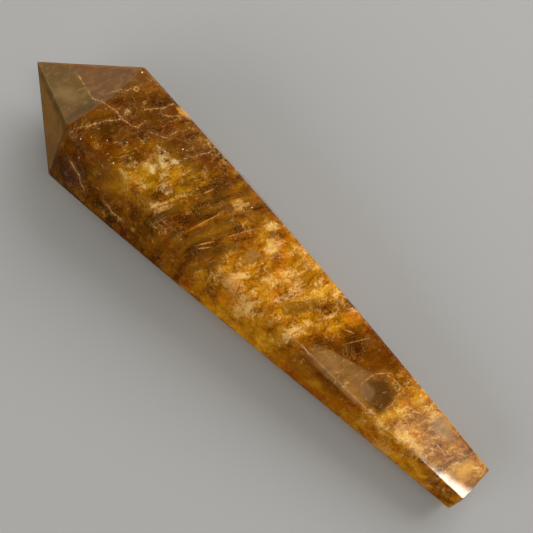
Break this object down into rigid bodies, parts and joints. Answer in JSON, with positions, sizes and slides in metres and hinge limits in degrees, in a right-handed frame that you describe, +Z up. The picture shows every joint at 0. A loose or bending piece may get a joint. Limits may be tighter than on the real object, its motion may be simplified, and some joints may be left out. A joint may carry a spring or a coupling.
{
  "type": "golden healer quartz wand",
  "caption": "Hand-cut quartz wand: a broad six-sided point on a long six-sided body that tapers to a small flat tail, in cloudy golden stone.",
  "frame": {"origin": "middle of the wand's box, on the surface that it lies on", "axes": "+X along the wand, from its point towards its tail; +Z up, out of the broad upper face; the flat underside is at Z = 0"},
  "size_m": [0.12, 0.028, 0.0234],
  "materials": {
    "golden_quartz": "polished, cloudy golden quartz with clear windows, healed cracks and iron staining"
  },
  "bodies": {
    "root": {"quartz_wand": "golden_quartz"}
  },
  "joints": []
}
